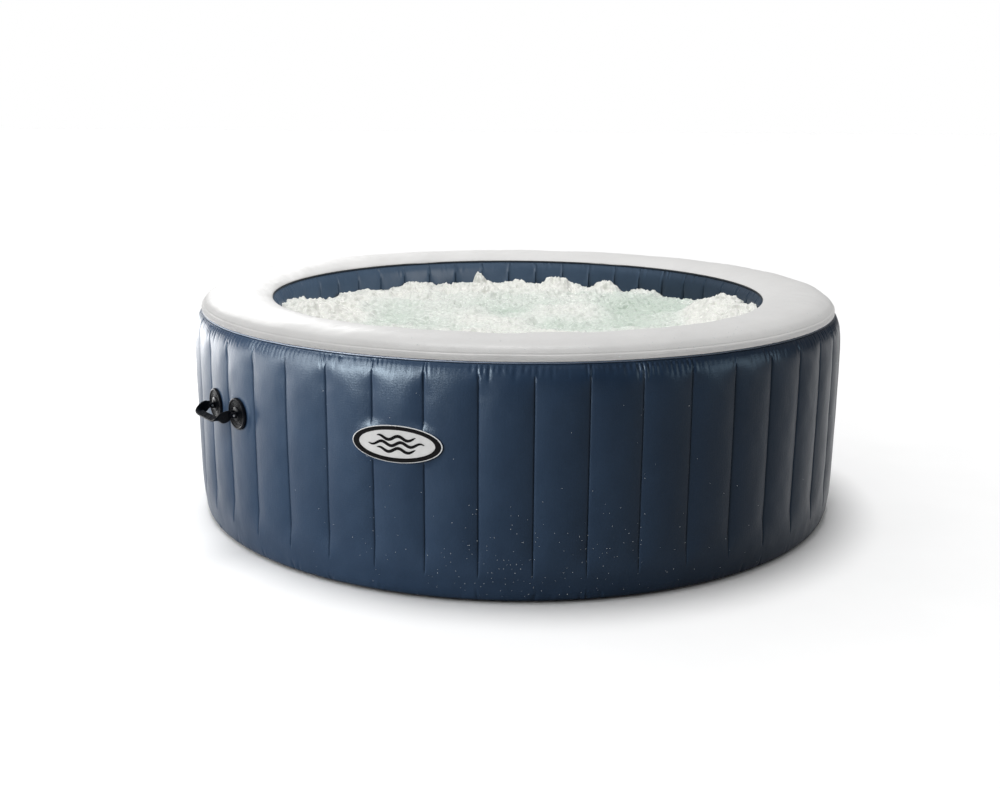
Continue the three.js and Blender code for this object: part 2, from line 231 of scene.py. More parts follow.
def turned(name, section, spot, segments=64, ribs=None, bend=0.0008):
    """Round piece turned about local Z; section is [radius, distance from the tub's axis]."""
    on_axis = section[0][0] == 0
    section = np.array(soften(section, bend, closed=not on_axis))
    angle = circle(segments)
    r, a = np.meshgrid(section[:, 0], angle, indexing="ij")
    w = np.repeat(section[:, 1][:, None], segments, 1)
    if ribs:
        count, depth, low, high = ribs
        on = (w > low) & (w < high) & (r > 0.93 * section[:, 0].max())
        r = r - np.where(on, depth * (0.5 - 0.5 * np.cos(count * a)) ** 0.6, 0)
    points = np.stack([r * np.cos(a), r * np.sin(a), w], -1).reshape(-1, 3)
    obj = mesh_piece(name, points, [grid_faces(len(section), segments, not on_axis, True)])
    if on_axis:
        weld(obj)
    obj.data.transform(wall_frame(*spot))
    return outward(obj)


def weld(obj):
    """Join the points that meet on the axis."""
    reach = 1e-6
    bm = bmesh.new()
    bm.from_mesh(obj.data)
    bmesh.ops.remove_doubles(bm, verts=bm.verts, dist=reach)
    bmesh.ops.dissolve_degenerate(bm, edges=bm.edges, dist=reach)
    bm.to_mesh(obj.data)
    bm.free()
    for p in obj.data.polygons:
        p.use_smooth = True


def tube(name, points, rows, around):
    """Rows of points round a tube, closed with a flat face at each end."""
    end = np.arange(around)[None]
    faces = [grid_faces(rows, around, False, True), end[:, ::-1], end + (rows - 1) * around]
    return outward(mesh_piece(name, points, faces))


def by_angle(obj, degrees=38):
    """Smooth shading that keeps real edges sharp."""
    me = obj.data
    me.polygons.foreach_set("use_smooth", np.ones(len(me.polygons), bool))
    me.set_sharp_from_angle(angle=math.radians(degrees))
    return obj


# ------------------------------------------------------------------ materials
class Nodes:
    """Short way to write a node tree."""

    def __init__(self, name):
        self.material = bpy.data.materials.new(name)
        self.material.use_nodes = True
        self.tree = self.material.node_tree
        self.shader = self.tree.nodes["Principled BSDF"]

    def add(self, kind, **values):
        node = self.tree.nodes.new(kind)
        for key, value in values.items():
            if hasattr(node, key):
                setattr(node, key, value)
            else:
                node.inputs[key.replace("_", " ")].default_value = value
        return node

    def link(self, out, to):
        self.tree.links.new(out, to)

    def set(self, **values):
        for key, value in values.items():
            self.shader.inputs[key.replace("_", " ")].default_value = value

    def feed(self, **sources):
        """Link outputs to the shader's sockets."""
        for key, out in sources.items():
            self.link(out, self.shader.inputs[key.replace("_", " ")])

    def rough(self, value, low, high):
        """Roughness that follows a value between two limits."""
        node = self.add("ShaderNodeMapRange", To_Min=low, To_Max=high)
        self.link(value, node.inputs["Value"])
        self.feed(Roughness=node.outputs["Result"])

    def noise(self, scale, detail=4.0, roughness=0.5, stretch=None):
        node = self.add("ShaderNodeTexNoise", Scale=scale, Detail=detail, Roughness=roughness)
        self.link(self.place(stretch=stretch), node.inputs["Vector"])
        return node.outputs["Fac"]

    def place(self, source="Object", stretch=None):
        coords = self.add("ShaderNodeTexCoord")
        out = coords.outputs[source]
        if stretch is None:
            return out
        mapping = self.add("ShaderNodeMapping", Scale=stretch)
        self.link(out, mapping.inputs["Vector"])
        return mapping.outputs["Vector"]

    def wave(self, scale, direction):
        node = self.add("ShaderNodeTexWave", bands_direction=direction, Scale=scale)
        self.link(self.place("UV"), node.inputs["Vector"])
        return node.outputs["Fac"]

    def ramp(self, fac, stops):
        node = self.add("ShaderNodeValToRGB")
        ramp = node.color_ramp
        while len(ramp.elements) < len(stops):
            ramp.elements.new(0.5)
        for element, (at, colour) in zip(ramp.elements, stops):
            element.position = at
            element.color = (*colour, 1)
        self.link(fac, node.inputs["Fac"])
        return node.outputs["Color"]

    def math(self, operation, a, b):
        node = self.add("ShaderNodeMath", operation=operation)
        for socket, value in zip(node.inputs, (a, b)):
            if isinstance(value, (int, float)):
                socket.default_value = value
            else:
                self.link(value, socket)
        return node.outputs["Value"]

    def mix(self, fac, a, b):
        node = self.add("ShaderNodeMix", data_type="RGBA")
        for socket, value in ((node.inputs[0], fac), (node.inputs[6], a), (node.inputs[7], b)):
            if isinstance(value, (int, float)):
                socket.default_value = value
            elif isinstance(value, tuple):
                socket.default_value = (*value, 1)
            else:
                self.link(value, socket)
        return node.outputs[2]

    def bump(self, height, strength, distance, under=None):
        node = self.add("ShaderNodeBump", Strength=strength, Distance=distance)
        self.link(height, node.inputs["Height"])
        if under is not None:
            self.link(under, node.inputs["Normal"])
        return node.outputs["Normal"]


def laminate(name, dark, light, roughness, gloss=0.2, tint=(1.0, 1.0, 1.0)):
    """Satin PVC laminate over a woven scrim: fine weave, grain, faint cloudiness and scuffs."""
    n = Nodes(name)
    cloud = n.noise(6.0, 5.0, roughness=0.6)
    fine = n.noise(420.0, 3.0, roughness=0.7)
    tone = n.ramp(n.math("ADD", n.math("MULTIPLY", cloud, 0.7), n.math("MULTIPLY", fine, 0.3)),
                  [(0.35, dark), (0.65, light)])
    n.feed(Base_Color=tone)
    scuff = n.noise(28.0, 6.0, roughness=0.65, stretch=(1.0, 1.0, 0.35))
    n.rough(scuff, roughness - 0.07, roughness + 0.09)
    # threads of the scrim, 2.4 and 3.0 mm apart
    warp = n.wave(1 / 0.0024 / 6.28, "X")
    weft = n.wave(1 / 0.0030 / 6.28, "Y")
    cloth = n.math("ADD", warp, weft)
    first = n.bump(cloth, 0.10, 0.00025)
    pebble = n.noise(230.0, 3.0, roughness=0.6)
    second = n.bump(pebble, 0.35, 0.0010, n.bump(fine, 0.12, 0.0006, first))
    crease = n.noise(34.0, 5.0, roughness=0.55, stretch=(1.0, 1.0, 0.5))
    n.feed(Normal=n.bump(crease, 0.30, 0.0022, second))
    n.set(IOR=1.5, Specular_IOR_Level=gloss, Specular_Tint=(*tint, 1))
    return n.material


def moulded(name, colour, roughness, spots=0.12, bump=0.15, gloss=0.4):
    """Moulded plastic or rubber: fine spark-eroded grain, slight mottling and scuffed gloss."""
    n = Nodes(name)
    mottle = n.noise(55.0, 5.0)
    low = tuple(max(c * (1 - spots), 0) for c in colour)
    high = tuple(min(c * (1 + spots) + 0.002, 1) for c in colour)
    n.feed(Base_Color=n.ramp(mottle, [(0.3, low), (0.7, high)]))
    scuff = n.noise(120.0, 6.0, roughness=0.7)
    n.rough(scuff, max(roughness - 0.06, 0.05), roughness + 0.10)
    grain = n.noise(1500.0, 2.0)
    n.feed(Normal=n.bump(grain, bump, 0.0002))
    n.set(Specular_IOR_Level=gloss)
    return n.material


def steel(name):
    n = Nodes(name)
    brushed = n.noise(900.0, 3.0, stretch=(1.0, 1.0, 0.05))
    tone = n.ramp(brushed, [(0.3, (0.45, 0.46, 0.47)), (0.7, (0.66, 0.66, 0.67))])
    n.feed(Base_Color=tone, Normal=n.bump(brushed, 0.2, 0.0002))
    n.set(Metallic=1.0, Roughness=0.32)
    return n.material


def fibre(name):
    """Open web of polyester threads on a film."""
    n = Nodes(name)
    threads = n.math("MAXIMUM", n.noise(260.0, 2.0, stretch=(1.0, 1.0, 8.0)),
                     n.noise(260.0, 2.0, stretch=(8.0, 8.0, 1.0)))
    tone = n.ramp(threads, [(0.4, (0.42, 0.43, 0.46)), (0.65, (0.78, 0.79, 0.80))])
    n.feed(Base_Color=tone, Normal=n.bump(threads, 0.6, 0.0006))
    n.set(Roughness=0.75, Sheen_Weight=0.2)
    return n.material


def water_material():
    """Aerated water: clear pale green where calm, white foam where the attribute says so."""
    n = Nodes("water_foam")
    foam = n.add("ShaderNodeAttribute", attribute_name="foam").outputs["Fac"]
    froth = n.noise(60.0, 8.0, roughness=0.75)
    bubble = n.add("ShaderNodeTexVoronoi", Scale=150.0)
    n.link(n.place(), bubble.inputs["Vector"])
    small = n.add("ShaderNodeTexVoronoi", Scale=420.0)
    n.link(n.place(), small.inputs["Vector"])
    cells = n.math("ADD", n.math("MULTIPLY", bubble.outputs["Distance"], 0.6),
                   n.math("MULTIPLY", small.outputs["Distance"], 0.4))
    amount = n.math("ADD", n.math("MULTIPLY", foam, 0.85), n.math("MULTIPLY", froth, 0.35))
    tone = n.ramp(amount, [(0.20, (0.44, 0.56, 0.47)), (0.40, (0.57, 0.66, 0.59)),
                           (0.60, (0.72, 0.76, 0.71)), (0.85, (0.82, 0.82, 0.77))])
    shade = n.mix(n.ramp(cells, [(0.05, (0.0, 0.0, 0.0)), (0.4, (1.0, 1.0, 1.0))]), tone,
                  (0.86, 0.87, 0.83))
    gloss = n.ramp(amount, [(0.3, (0.08, 0.08, 0.08)), (0.7, (0.22, 0.22, 0.22))])
    n.feed(Base_Color=n.mix(0.38, tone, shade), Roughness=gloss)
    n.feed(Normal=n.bump(cells, 0.50, 0.0018, n.bump(froth, 0.4, 0.004)))
    n.set(IOR=1.33, Subsurface_Weight=0.15, Subsurface_Scale=0.02,
          Subsurface_Radius=(0.9, 1.0, 0.9))
    return n.material


def droplet_painted_sparkle_material():
    n = Nodes("droplet")
    tint = n.noise(40.0, 2.0)
    # Near-white base colour is painted sparkle: the clear water drops are coloured white so that they
    # read as glints. Only their low roughness gives real highlights.
    n.feed(Base_Color=n.ramp(tint, [(0.3, (0.80, 0.84, 0.86)), (0.7, (0.90, 0.93, 0.95))]))
    n.set(Roughness=0.08, IOR=1.33, Transmission_Weight=0.25)
    return n.material


def floor_material():
    n = Nodes("studio_floor")
    speck = n.noise(3.0, 3.0)
    n.feed(Base_Color=n.ramp(speck, [(0.3, (0.90, 0.90, 0.90)), (0.7, (0.92, 0.92, 0.92))]))
    n.set(Roughness=0.75, Specular_IOR_Level=0.2)
    return n.material


NAVY = laminate("navy_laminate", (0.0028, 0.0061, 0.0126), (0.0043, 0.0086, 0.0166), 0.33,
                gloss=0.145, tint=(0.72, 0.86, 0.96))
LINER = laminate("liner_laminate", (0.028, 0.048, 0.078), (0.038, 0.062, 0.098), 0.42)
WHITE = laminate("white_laminate", (0.595, 0.591, 0.585), (0.628, 0.624, 0.617), 0.42, gloss=0.3)
PIPING = moulded("piping", (0.020, 0.028, 0.042), 0.50)
SHEET = laminate("base_laminate", (0.030, 0.040, 0.060), (0.042, 0.054, 0.078), 0.55)
BLACK = moulded("handle_black", (0.0030, 0.0040, 0.0065), 0.26, bump=0.02, gloss=0.055)
RIM_BLACK = moulded("badge_black", (0.006, 0.006, 0.007), 0.30, bump=0.03, gloss=0.08)
SILVER = moulded("badge_silver", (0.80, 0.80, 0.795), 0.38, spots=0.04, bump=0.05)
PORT = moulded("port_grey", (0.075, 0.082, 0.095), 0.42)
CAP = moulded("cap_dark", (0.035, 0.038, 0.045), 0.40)
RUBBER = moulded("seal_rubber", (0.012, 0.012, 0.013), 0.70, bump=0.3)
PALE = moulded("pale_plastic", (0.62, 0.64, 0.65), 0.42, spots=0.05)
CHANNEL = moulded("channel_pvc", (0.55, 0.58, 0.62), 0.45, spots=0.05)
STEEL = steel("pin_steel")
FIBRE = fibre("web_fibre")
WATER = water_material()
DROPLET_PAINTED_SPARKLE = droplet_painted_sparkle_material()


def finish(obj, material, body="tub", replaces=()):
    """Hand the piece over: its material, the body it rides on, the nodes it hides."""
    obj.data.materials.clear()
    obj.data.materials.append(material)
    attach(obj, body)
    if replaces:
        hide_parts(*replaces)
    return obj


# ------------------------------------------------------------------ inflated skins
def chamber_columns(per_chamber, crowd=0.62):
    """Angles of the columns, closer together near the seams, with the place in the chamber."""
    u = np.arange(per_chamber) / per_chamber
    share = u - crowd / TURN * np.sin(TURN * u)
    k = np.arange(CHAMBERS)[:, None]
    angle = SEAM_PHASE + PITCH * (k + share[None, :])
    return angle.ravel(), np.tile(share, CHAMBERS)


def patch(angle, z, spot, half_u, half_z, radius, spread=1.22):
    """1 inside an oval round the spot, falling smoothly to 0 just outside it."""
    d = np.hypot(turn_from(angle, spot[0]) * radius / half_u, (z - spot[1]) / half_z)
    return 1 - smoothstep(1.0, spread, d)


def puckers(rng, angle, run, radius, count, width, length, depth, near=None):
    """Short folds that start at a gathered seam. run is the distance from that seam."""
    out = np.zeros((len(run), len(angle)))
    for _ in range(count):
        at = rng.uniform(0, TURN)
        if near is not None and rng.uniform() < near:
            at = SEAM_PHASE + PITCH * round((at - SEAM_PHASE) / PITCH) + rng.normal(0, 0.006)
        w, l, d = rng.uniform(*width), rng.uniform(*length), rng.uniform(*depth)
        lean = rng.normal(0, 0.12)
        rows = np.where(run < l * 1.05)[0]
        turn = turn_from(angle, at)
        near_by = np.abs(turn * radius) < 4 * w + abs(lean) * l
        u = turn[near_by][None, :] * radius - lean * run[rows][:, None]
        across = np.exp(-(u / w) ** 2) - 0.45 * np.exp(-(u / (2.2 * w)) ** 2)
        along = smoothstep(0, 0.004, run[rows]) * (1 - smoothstep(0.25 * l, l, run[rows]))
        out[np.ix_(rows, near_by)] -= d * across * along[:, None]
    return out


def gathers(rng, angle, run, radius, spacing, length, depth):
    """Close upright folds side by side along a gathered seam, run from that seam."""
    out = np.zeros((len(run), len(angle)))
    swell = 0.55 + 0.45 * ripple(angle, 0.0, radius, 77, 0.50, 1.0)
    at = 0.0
    while at < TURN:
        gap = rng.uniform(*spacing)
        width = gap * rng.uniform(0.22, 0.34)
        reach = rng.uniform(*length)
        deep = rng.uniform(*depth)
        lean = rng.normal(0, 0.05)
        centre = at + 0.5 * gap / radius
        at += gap / radius
        turn = turn_from(angle, centre)
        near = np.abs(turn * radius) < 4 * width + abs(lean) * reach
        u = turn[near][None, :] * radius - lean * run[:, None]
        along = smoothstep(0.0, 0.006, run) * (1 - smoothstep(0.2 * reach, reach, run))
        fold = deep * np.exp(-(u / width) ** 2) * along[:, None]
        out[:, near] -= fold * np.clip(swell[near], 0.12, 1.3)[None, :]
    return out


def ripple(angle, z, radius, seed, size, amount):
    """Slow uneven dents, made from a few waves that close round the tub."""
    rng = np.random.default_rng(seed)
    total = np.zeros(np.broadcast(angle, z).shape)
    for _ in range(14):
        turns = max(1, round(TURN * radius / size * rng.uniform(0.5, 1.6)))
        up = TURN / size * rng.uniform(0.3, 1.2) * rng.choice([-1, 1])
        total = total + np.sin(turns * angle + up * z + rng.uniform(0, TURN))
    return amount * total / math.sqrt(14)


OUTER_ENVELOPE = [(0.9600, 0.0042), (0.9665, 0.0085), (0.9715, 0.0240), (0.9750, 0.0500),
                  (0.9788, 0.0900), (0.9814, 0.1700), (0.9818, 0.3300), (0.9818, 0.4500),
                  (0.9805, 0.5150), (0.9758, 0.5580), (0.9670, 0.5840), (0.9572, 0.5972)]
INNER_ENVELOPE = [(0.7490, 0.0042), (0.7360, 0.0500), (0.7275, 0.1600), (0.7265, 0.4800),
                  (0.7290, 0.5500), (0.7370, 0.5950), (0.7500, 0.6200)]
RING_SECTION = [(0.9568, 0.6035), (0.9560, 0.6120), (0.9500, 0.6240), (0.9350, 0.6375),
                (0.9040, 0.6478), (0.8600, 0.6500), (0.8120, 0.6455), (0.7740, 0.6365),
                (0.7560, 0.6300), (0.7502, 0.6262)]


def skin(name, front, back):
    """Closed band: a displaced front sheet (rows x columns x 3) and a plain back sheet."""
    columns = front.shape[1]
    points = np.concatenate([front, back[::-1]])
    length = [distance_along(side[:, 0]) for side in (front, back[::-1])]
    turn = np.arange(columns) / columns * TURN * np.abs(front[0, :, :2]).max()
    uv = np.stack(np.broadcast_arrays(turn[None, :], np.concatenate(length)[:, None]), -1)
    faces = [grid_faces(len(points), columns, True, True)]
    return outward(mesh_piece(name, points.reshape(-1, 3), faces, uv.reshape(-1, 2)))


def plain_back(section, angle, setback, rows=7):
    """Smooth sheet behind a wall section, set back towards the inside of the wall."""
    pick = section[np.linspace(0, len(section) - 1, rows).round().astype(int)].copy()
    pick[1:-1, 0] += setback
    pick[[0, -1], 0] += math.copysign(0.003, setback)
    return polar(pick[:, :1], angle, pick[:, 1:])


def wall_groove(angle, share, z, radius, depth, crease, low, high, flats, power=4.0):
    """How far the skin is drawn in: broad between chambers, with a narrow crease at the web."""
    z = z[:, None]
    open_ = smoothstep(low, low + 0.075, z) * (1 - smoothstep(high - 0.060, high + 0.006, z))
    sharp = smoothstep(low - 0.006, low + 0.010, z) * (1 - smoothstep(high - 0.012, high, z))
    bulge = 1 - np.abs(2 * share - 1) ** power
    to_seam = np.minimum(share, 1 - share) * PITCH * radius
    groove = depth * open_ * (1 - bulge)[None, :]
    groove = groove + crease * sharp * np.exp(-(to_seam / 0.0015))[None, :]
    for spot, half_u, half_z in flats:
        groove = groove * (1 - patch(angle[None, :], z, spot, half_u, half_z, radius))
    return groove


def outer_wall():
    rng = np.random.default_rng(11)
    angle, share = chamber_columns(OUTER_STEPS)
    rows = np.concatenate([np.linspace(0, 0.14, 28, endpoint=False),
                           np.linspace(0.14, 0.82, 36, endpoint=False),
                           np.linspace(0.82, 1.0, 52)])
    section = spline(OUTER_ENVELOPE, rows)
    r0, z = section[:, 0], section[:, 1]
    pads = [((HANDLE_ANGLE + turn + side * PITCH / 2, HANDLE_Z), 0.047, 0.047)
            for turn in (0, math.pi) for side in (-1, 1)]
    flats = [*pads, ((BADGE_ANGLE, BADGE_Z), *BADGE_HALF), (OUTLET, 0.048, 0.048),
             (INLET, 0.048, 0.048), (AIR, 0.033, 0.033), (VALVE, 0.028, 0.028),
             (DRAIN, 0.027, 0.027)]
    groove = wall_groove(angle, share, z, WALL_R, 0.0078, 0.0030, WEB_LOW, WEB_HIGH, flats, 2.3)
    top = z[-1] - z
    bottom = z - z[0]
    folds = gathers(rng, angle, top, WALL_R, (0.010, 0.019), (0.020, 0.056), (0.0012, 0.0046))
    folds += puckers(rng, angle, top, WALL_R, 120, (0.0025, 0.0050), (0.030, 0.065),
                     (0.0006, 0.0022), near=0.5)
    folds += puckers(rng, angle, bottom, WALL_R, 260, (0.003, 0.008), (0.012, 0.045),
                     (0.0004, 0.0020), near=0.4)
    # some webs pull one clear fold from their end towards the ring seam
    for k in range(CHAMBERS):
        at = SEAM_PHASE + PITCH * k + rng.normal(0, 0.0015)
        width, deep = rng.uniform(0.003, 0.005), max(rng.uniform(-0.0020, 0.0030), 0.0)
        across = np.exp(-(turn_from(angle, at) * WALL_R / width) ** 2)
        along = smoothstep(0.016, 0.030, top) * (1 - smoothstep(0.050, 0.080, top))
        folds -= deep * across[None, :] * along[:, None]
    free = smoothstep(0.0, 0.02, top) * smoothstep(0.0, 0.02, bottom)
    dents = ripple(angle, z[:, None], WALL_R, 5, 0.42, 0.0007) * free[:, None]
    dents = dents + ripple(angle, z[:, None], WALL_R, 9, 0.10, 0.00022) * free[:, None]
    points = polar(r0[:, None] - groove + folds + dents, angle, z[:, None])
    wall = skin("outer_wall_skin", points, plain_back(section, angle, -0.0165))
    return finish(wall, NAVY, replaces=["outer_wall"])


def inner_wall():
    rng = np.random.default_rng(12)
    angle, share = chamber_columns(40)
    rows = np.concatenate([np.linspace(0, 0.7, 22, endpoint=False), np.linspace(0.7, 1.0, 60)])
    section = spline(INNER_ENVELOPE, rows)
    r0, z = section[:, 0], section[:, 1]
    flats = [(OUTLET, 0.036, 0.040), (INLET, 0.036, 0.040), (DRAIN, 0.024, 0.024)]
    groove = wall_groove(angle, share, z, SEAM_R, 0.0110, 0.0045, 0.060, 0.590, flats)
    top = z[-1] - z
    folds = puckers(rng, angle, top, SEAM_R, 330, (0.0022, 0.0055), (0.012, 0.045),
                    (0.0006, 0.0030), near=0.4)
    for k in range(CHAMBERS):
        across = np.exp(-(turn_from(angle, SEAM_PHASE + PITCH * k) * SEAM_R / 0.005) ** 2)
        folds -= 0.0025 * across[None, :] * smoothstep(0.004, 0.012, top)[:, None] * (
            1 - smoothstep(0.03, 0.06, top))[:, None]
    dents = ripple(angle, z[:, None], SEAM_R, 6, 0.3, 0.0008)
    free = smoothstep(0.0, 0.02, top)[:, None]
    points = polar(r0[:, None] + groove - folds + dents * free, angle, z[:, None])
    wall = skin("inner_wall_skin", points, plain_back(section, angle, 0.019))
    return finish(wall, LINER, replaces=["inner_wall"])


def top_ring():
    rng = np.random.default_rng(13)
    angle = SEAM_PHASE + np.arange(RING_COLUMNS) / RING_COLUMNS * TURN
    section = spline(RING_SECTION, np.concatenate([
        np.linspace(0, 0.22, 26, endpoint=False), np.linspace(0.22, 0.85, 30, endpoint=False),
        np.linspace(0.85, 1, 18)]))
    step = np.gradient(section, axis=0)
    normal = np.stack([step[:, 1], -step[:, 0]], 1)
    normal /= np.linalg.norm(normal, axis=1, keepdims=True)
    run = distance_along(section)
    back = run[-1] - run
    lift = puckers(rng, angle, run, WALL_R, 260, (0.003, 0.008), (0.010, 0.040),
                   (0.0002, 0.0010))
    lift += puckers(rng, angle, back, SEAM_R, 220, (0.003, 0.007), (0.008, 0.030),
                    (0.0002, 0.0010))
    free = smoothstep(0, 0.02, np.minimum(run, back))[:, None]
    for seed, size, amount in ((21, 0.30, 0.0009), (22, 0.07, 0.00022)):
        lift += ripple(angle, run[:, None], 0.86, seed, size, amount) * free
    # the lower edge is lapped and welded: a low step and a thin groove along it
    lap = 0.0012 * (1 - smoothstep(0.0150, 0.0164, run)) - 0.0010 * np.exp(
        -((run - 0.0172) / 0.0013) ** 2)
    lift += lap[:, None]
    outline = section[:, None, :] + normal[:, None, :] * lift[:, :, None]
    points = polar(outline[..., 0], angle, outline[..., 1])
    pick = np.linspace(0, len(section) - 1, 12).round().astype(int)
    low = section[pick].copy()
    low[1:-1] -= normal[pick][1:-1] * 0.003
    low[[0, -1], 0] += [-0.002, 0.002]
    ring = skin("top_ring_skin", points, polar(low[:, :1], angle, low[:, 1:]))
    return finish(ring, WHITE, replaces=["top_ring"])


def piping(name, radius, z, half, node, wobble_seed):
    """Welded seam band: a flattened bead with slight waviness."""
    columns, around = CHAMBERS * 12, 14
    angle = np.arange(columns) / columns * TURN
    t = np.arange(around) / around * TURN
    wobble = ripple(angle, 0.0, radius, wobble_seed, 0.12, 0.0003)
    r = radius + half[0] * np.cos(t)[:, None] + wobble[None, :]
    h = z + half[1] * np.sin(t)[:, None] + 0.5 * np.roll(wobble, 7)[None, :]
    points = polar(r, angle, h).reshape(-1, 3)
    bead = outward(mesh_piece(name, points, [grid_faces(around, columns, True, True)]))
    return finish(bead, PIPING, replaces=[node])


# ------------------------------------------------------------------ handles
PIVOT = (1.002 * math.sin(PITCH / 2), 1.002 * math.cos(PITCH / 2))
# stations of the right arm: along, up, out from the pivot line, lean in degrees, half width
GRIP_ARM = [(0.000, 0.000, 0.0000, 0, 0.0075), (0.001, -0.001, 0.0110, 0, 0.0140),
            (-0.001, -0.006, 0.0230, 20, 0.0150), (-0.008, -0.011, 0.0330, 60, 0.0130),
            (-0.020, -0.011, 0.0380, 105, 0.0110), (-0.040, -0.011, 0.0405, 114, 0.0100)]
GRIP_THICK = 0.0058
RIB_HEIGHT, RIB_SPACING = 0.0022, 0.0105
EYE_RADIUS, EYE_HALF = 0.0074, 0.0084  # the round ends of the grip, on the pins


def joined(name, parts):
    """One piece out of several meshes."""
    meshes = [p.data for p in parts]
    bpy.ops.object.select_all(action="DESELECT")
    for p in parts:
        p.select_set(True)
    bpy.context.view_layer.objects.active = parts[0]
    bpy.ops.object.join()
    parts[0].name = name
    for mesh in meshes[1:]:
        if mesh.users == 0:
            bpy.data.meshes.remove(mesh)
    return parts[0]


def prism_x(name, outline, x, half):
    """Plate along local X from a rounded outline in Y and Z, with softened edges."""
    outline = np.array(outline)
    centre = outline.mean(0)
    layers = []
    for across, shrink in ((-half, 0.0010), (-half + 0.0010, 0), (half - 0.0010, 0),
                           (half, 0.0010)):
        rim = outline - (outline - centre) / np.linalg.norm(outline - centre, axis=1)[:, None] \
            * shrink
        layers.append(np.column_stack([np.full(len(rim), x + across), rim]))
    return tube(name, np.concatenate(layers), len(layers), len(outline))


def pad_section():
    """Section of a round plate with concentric ridges round a domed hub."""
    rows = [(0, 0.9826), (0.0415, 0.9826), (0.0430, 0.9838), (0.0430, 0.9868), (0.0416, 0.9892),
            (0.0396, 0.9902), (0.0374, 0.9898), (0.0360, 0.9872)]
    for ridge in (0.0322, 0.0278, 0.0234):
        rows += [(ridge + 0.0018, 0.9868), (ridge + 0.0007, 0.9884), (ridge - 0.0007, 0.9884),
                 (ridge - 0.0018, 0.9868)]
    return rows + [(0.0205, 0.9872), (0.0190, 0.9898), (0.0150, 0.9914), (0.0080, 0.9922),
                   (0, 0.9924)]


def pad_piece(end, spot, angle, side):
    plate = turned("plate", pad_section(), (angle + side * PITCH / 2, HANDLE_Z), bend=0.0005)
    ears = []
    arc = np.linspace(-math.pi / 2, math.pi / 2, 13)
    outline = [(0.0078 * math.sin(t), PIVOT[1] + 0.0078 * math.cos(t)) for t in arc]
    outline += [(0.0088, 0.9905), (-0.0088, 0.9905)]
    for s in (-1, 1):
        ear = prism_x("ear", outline, side * PIVOT[0] + s * 0.0115, 0.0024)
        ear.data.transform(wall_frame(angle, HANDLE_Z))
        ears.append(by_angle(ear))
    pad = joined(f"handle_{end}_pad_{spot}_detail", [plate, *ears])
    node = f"handle_{end}_pad_{spot}"
    return finish(pad, BLACK, replaces=[node])


def grip_path():
    """Smooth stations over the whole strap, right arm to left arm."""
    right = np.array(GRIP_ARM)
    left = right[::-1].copy()
    right[:, 0] += PIVOT[0]
    left[:, 0] = -(left[:, 0] + PIVOT[0])
    return spline(np.vstack([right, left]) * [1, 1, 1, 0.001, 1], 150) * [1, 1, 1, 1000, 1]


def strap_ring(half, thick, lift):
    """Rounded rectangle, starting on the upper face; lift raises the ribs on both faces."""
    corner = 0.0021
    arc = np.linspace(0, math.pi / 2, 5)
    quarter = np.stack([half - corner + corner * np.sin(arc),
                        thick / 2 - corner + corner * np.cos(arc)], 1)
    flat = np.linspace(-1, 1, 9)[1:-1] * (half - corner)
    rib = lift * np.clip((1 - np.abs(flat) / (0.80 * half)) * 6, 0, 1)
    upper = np.column_stack([flat, thick / 2 - rib])
    ring = np.vstack([upper, quarter, (quarter * [1, -1])[::-1]])
    lower = np.column_stack([flat[::-1], -thick / 2 + rib])
    return np.vstack([ring, lower, quarter * [-1, -1], (quarter * [-1, 1])[::-1]])


def grip_piece(end, angle):
    path = grip_path()
    at = path[:, :3]
    run = np.gradient(at, axis=0)
    run /= np.linalg.norm(run, axis=1, keepdims=True)
    lean = np.radians(path[:, 3])
    wide = np.stack([0 * lean, np.cos(lean), np.sin(lean)], 1)
    wide -= run * np.einsum("ij,ij->i", run, wide)[:, None]
    wide /= np.linalg.norm(wide, axis=1, keepdims=True)
    across = np.cross(run, wide)
    length = distance_along(at)
    middle = length - length[-1] / 2
    ribbed = 1 - smoothstep(0.030, 0.036, np.abs(middle))
    groove = (0.5 + 0.5 * np.cos(TURN * middle / RIB_SPACING)) ** 3
    rows = []
    for i in range(len(at)):
        ring = strap_ring(path[i, 4], GRIP_THICK, RIB_HEIGHT * ribbed[i] * groove[i])
        rows.append(at[i] + wide[i] * ring[:, :1] + across[i] * ring[:, 1:])
    strap = tube("strap", np.concatenate(rows) + [0, 0, PIVOT[1]], len(rows), len(rows[0]))
    eye = [(EYE_RADIUS * math.cos(t), PIVOT[1] + EYE_RADIUS * math.sin(t)) for t in circle(28)]
    eyes = [prism_x("eye", eye, s * PIVOT[0], EYE_HALF) for s in (-1, 1)]
    for p in (strap, *eyes):
        p.data.transform(wall_frame(angle, HANDLE_Z))
        by_angle(p, 50)
    grip = joined(f"handle_{end}_grip_detail", [strap, *eyes])
    return finish(grip, BLACK, f"{end}_grip", [f"handle_{end}_grip"])


def handles():
    for end, angle in (("front", HANDLE_ANGLE), ("back", HANDLE_ANGLE + math.pi)):
        for spot, side in (("left", -1), ("right", 1)):
            pad_piece(end, spot, angle, side)
            dress(f"handle_{end}_pin_{spot}", STEEL)
        grip_piece(end, angle)


# ------------------------------------------------------------------ badge
def on_badge(u, v, height):
    """A point of the badge: u along the wall, v up, height above the badge's back."""
    return polar(BADGE_WALL_R + height, BADGE_ANGLE + u / BADGE_WALL_R, BADGE_Z + v)


def oval_band(name, section, material, replaces=()):
    """Closed band round the oval. section is [share inwards from the outer edge, height]."""
    section = np.array(soften(section, 0.0006))
    t = circle(160)
    share, t2 = np.meshgrid(section[:, 0], t, indexing="ij")
    height = np.repeat(section[:, 1][:, None], len(t), 1)
    points = on_badge((BADGE_HALF[0] - RIM_ENDS * share) * np.cos(t2),
                      (BADGE_HALF[1] - share) * np.sin(t2), height)
    band = mesh_piece(name, points.reshape(-1, 3), [grid_faces(len(section), len(t), True, True)])
    return finish(by_angle(outward(band)), material, replaces=replaces)


